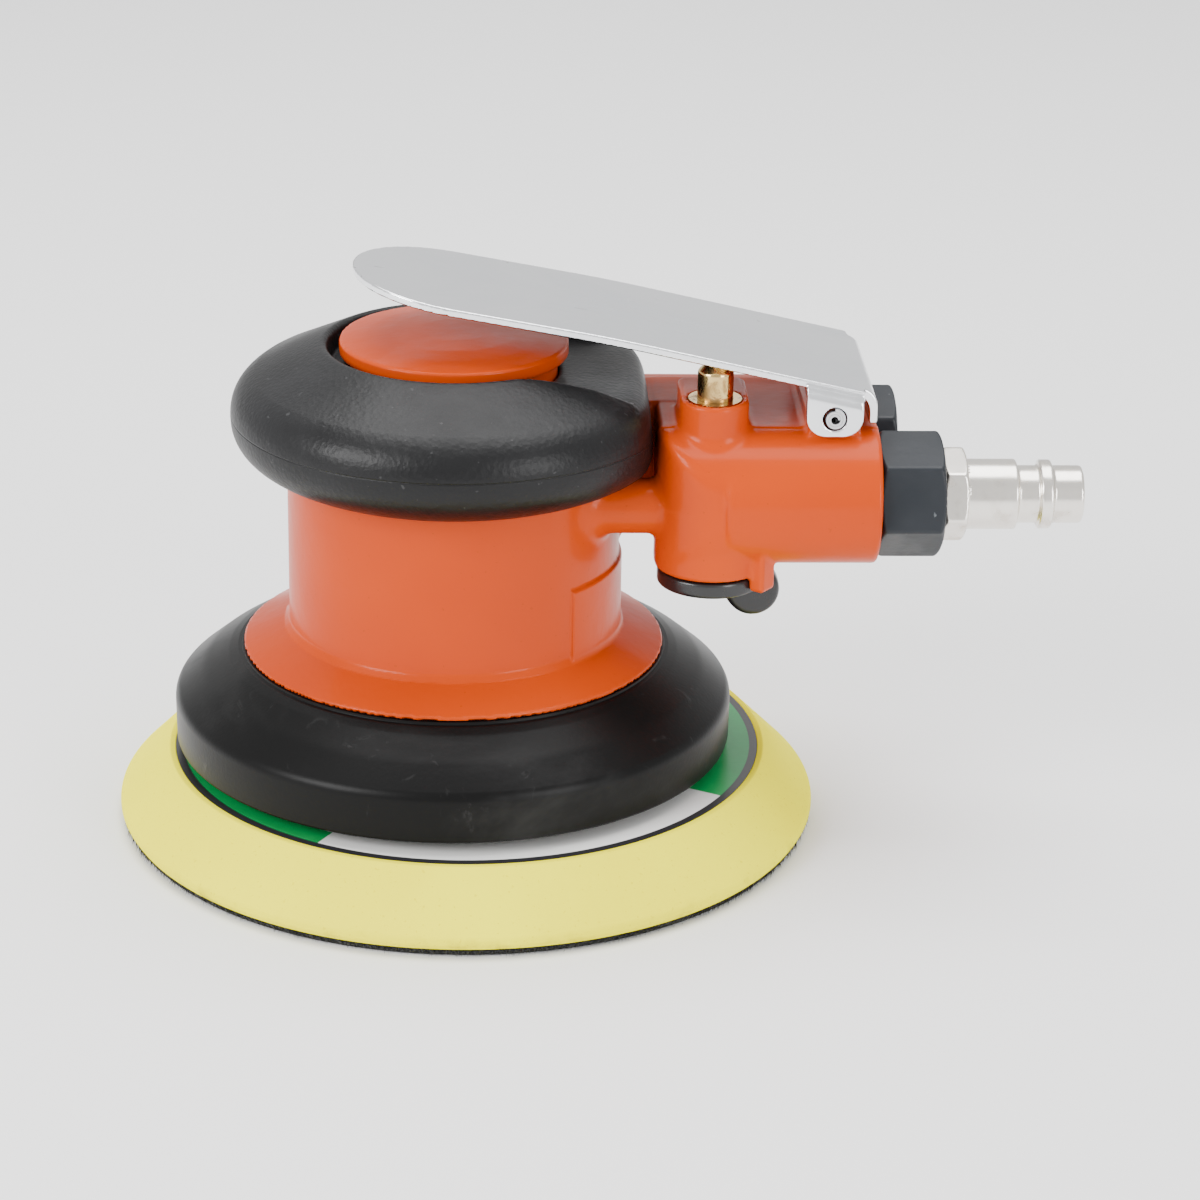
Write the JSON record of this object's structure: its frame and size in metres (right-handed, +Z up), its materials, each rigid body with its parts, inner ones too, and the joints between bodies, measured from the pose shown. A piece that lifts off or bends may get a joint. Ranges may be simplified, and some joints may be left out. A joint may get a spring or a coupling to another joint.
{
  "type": "orbital sander",
  "caption": "Palm-grip air sander: lever valve and vane motor in a cast housing with rubber grip and shroud, turning a round foam pad on an offset spindle.",
  "frame": {"origin": "on the pad's working face, where the motor's axis meets it; the pad's own axis is 2.5 mm towards +X at rest", "axes": "+Z up along the motor's axis, away from the pad's face; +X towards the air inlet plug; +Y to the exhaust side"},
  "size_m": [0.1686, 0.125, 0.102],
  "materials": {
    "orange_paint": "gloss paint on cast aluminium",
    "grip_rubber": "satin, fine grain",
    "shroud_rubber": "satin, scuffed",
    "machined_steel": "machined",
    "bearing_steel": "polished",
    "bright_steel": "bright brushed",
    "black_oxide": "satin black oxide",
    "nickel_plate": "satin nickel plate",
    "brass": "turned",
    "sintered_bronze": "porous, matt",
    "seal_rubber": "matt",
    "vane_composite": "laminated composite",
    "pad_plate": "fibre-filled plastic",
    "yellow_foam": "soft polyurethane foam with a skin",
    "label_print": "printed film in green and white sectors",
    "hook_fleece": "short hook pile",
    "black_plastic": "satin"
  },
  "bodies": {
    "housing": {"motor_housing": "orange_paint", "grip": "grip_rubber", "shroud": "shroud_rubber", "lock_ring": "machined_steel", "lower_endplate": "machined_steel", "endplate_oring": "seal_rubber", "cylinder_liner": "machined_steel", "cylinder_pin": "machined_steel", "upper_endplate": "machined_steel", "wave_washer": "machined_steel", "upper_bearing_outer_ring": "bearing_steel", "lower_bearing_outer_ring": "bearing_steel", "inlet_bushing": "black_oxide", "inlet_oring": "seal_rubber", "inlet_screen": "machined_steel", "quick_plug": "nickel_plate", "exhaust_muffler": "black_oxide", "muffler_insert": "sintered_bronze", "lever_pin": "machined_steel", "valve_guide": "brass", "stem_oring": "seal_rubber", "valve_seat": "brass"},
    "rotor": {"rotor": "machined_steel", "rotor_vanes": "vane_composite", "rotor_key": "machined_steel", "shaft_balancer": "machined_steel", "upper_bearing_inner_ring": "bearing_steel", "lower_bearing_inner_ring": "bearing_steel", "spindle_bearing_outer_rings": "bearing_steel", "bearing_snap_ring": "machined_steel"},
    "pad": {"spindle": "machined_steel", "spindle_bearing_inner_rings": "bearing_steel", "spindle_circlip": "machined_steel", "pad_spacer": "seal_rubber", "pad_stud": "machined_steel", "backing_plate": "pad_plate", "pad_foam": "yellow_foam", "pad_label": "label_print", "hook_layer": "hook_fleece"},
    "upper_balls": {"upper_ball_set": "bearing_steel"},
    "lower_balls": {"lower_ball_set": "bearing_steel"},
    "spindle_balls": {"spindle_ball_sets": "bearing_steel"},
    "lever": {"throttle_lever": "bright_steel"},
    "valve": {"valve_stem": "brass", "valve_disc": "seal_rubber"},
    "regulator": {"regulator": "black_plastic", "regulator_oring": "seal_rubber", "regulator_snap_ring": "machined_steel", "valve_spring": "machined_steel"}
  },
  "joints": [
    {"name": "rotor_spin", "type": "hinge", "parent": "housing", "child": "rotor", "pos_m": [0, 0, 0.05], "axis": [0, 0, 1], "continuous": true},
    {"name": "pad_spin", "type": "hinge", "parent": "rotor", "child": "pad", "pos_m": [0.0025, 0, 0.025], "axis": [0, 0, 1], "continuous": true},
    {"name": "upper_balls_spin", "type": "hinge", "parent": "housing", "child": "upper_balls", "pos_m": [0, 0, 0.0735], "axis": [0, 0, 1], "continuous": true},
    {"name": "lower_balls_spin", "type": "hinge", "parent": "housing", "child": "lower_balls", "pos_m": [0, 0, 0.042], "axis": [0, 0, 1], "continuous": true},
    {"name": "spindle_balls_spin", "type": "hinge", "parent": "rotor", "child": "spindle_balls", "pos_m": [0.0025, 0, 0.025], "axis": [0, 0, 1], "continuous": true},
    {"name": "lever_press", "type": "hinge", "parent": "housing", "child": "lever", "pos_m": [0.0648, 0, 0.08], "axis": [0, -1, 0], "range_deg": [0, 5.7], "stiffness_Nm_per_rad": 2, "springref_deg": -3.44},
    {"name": "stem_slide", "type": "slide", "parent": "housing", "child": "valve", "axis": [0, 0, -1], "range_m": [0, 0.0022], "stiffness_N_per_m": 0.2, "springref_m": -0.385, "deforming": ["valve_spring"]},
    {"name": "regulator_turn", "type": "hinge", "parent": "housing", "child": "regulator", "pos_m": [0.0446, -0.0135, 0.05], "axis": [0, 0, 1], "range_deg": [-10, 80]}
  ],
  "couplings": [
    {"joint": "stem_slide", "follows": "lever_press", "m_per_rad": 0.0209},
    {"joint": "upper_balls_spin", "follows": "rotor_spin", "ratio": 0.3647},
    {"joint": "lower_balls_spin", "follows": "rotor_spin", "ratio": 0.4033},
    {"joint": "spindle_balls_spin", "follows": "pad_spin", "ratio": 0.384}
  ]
}
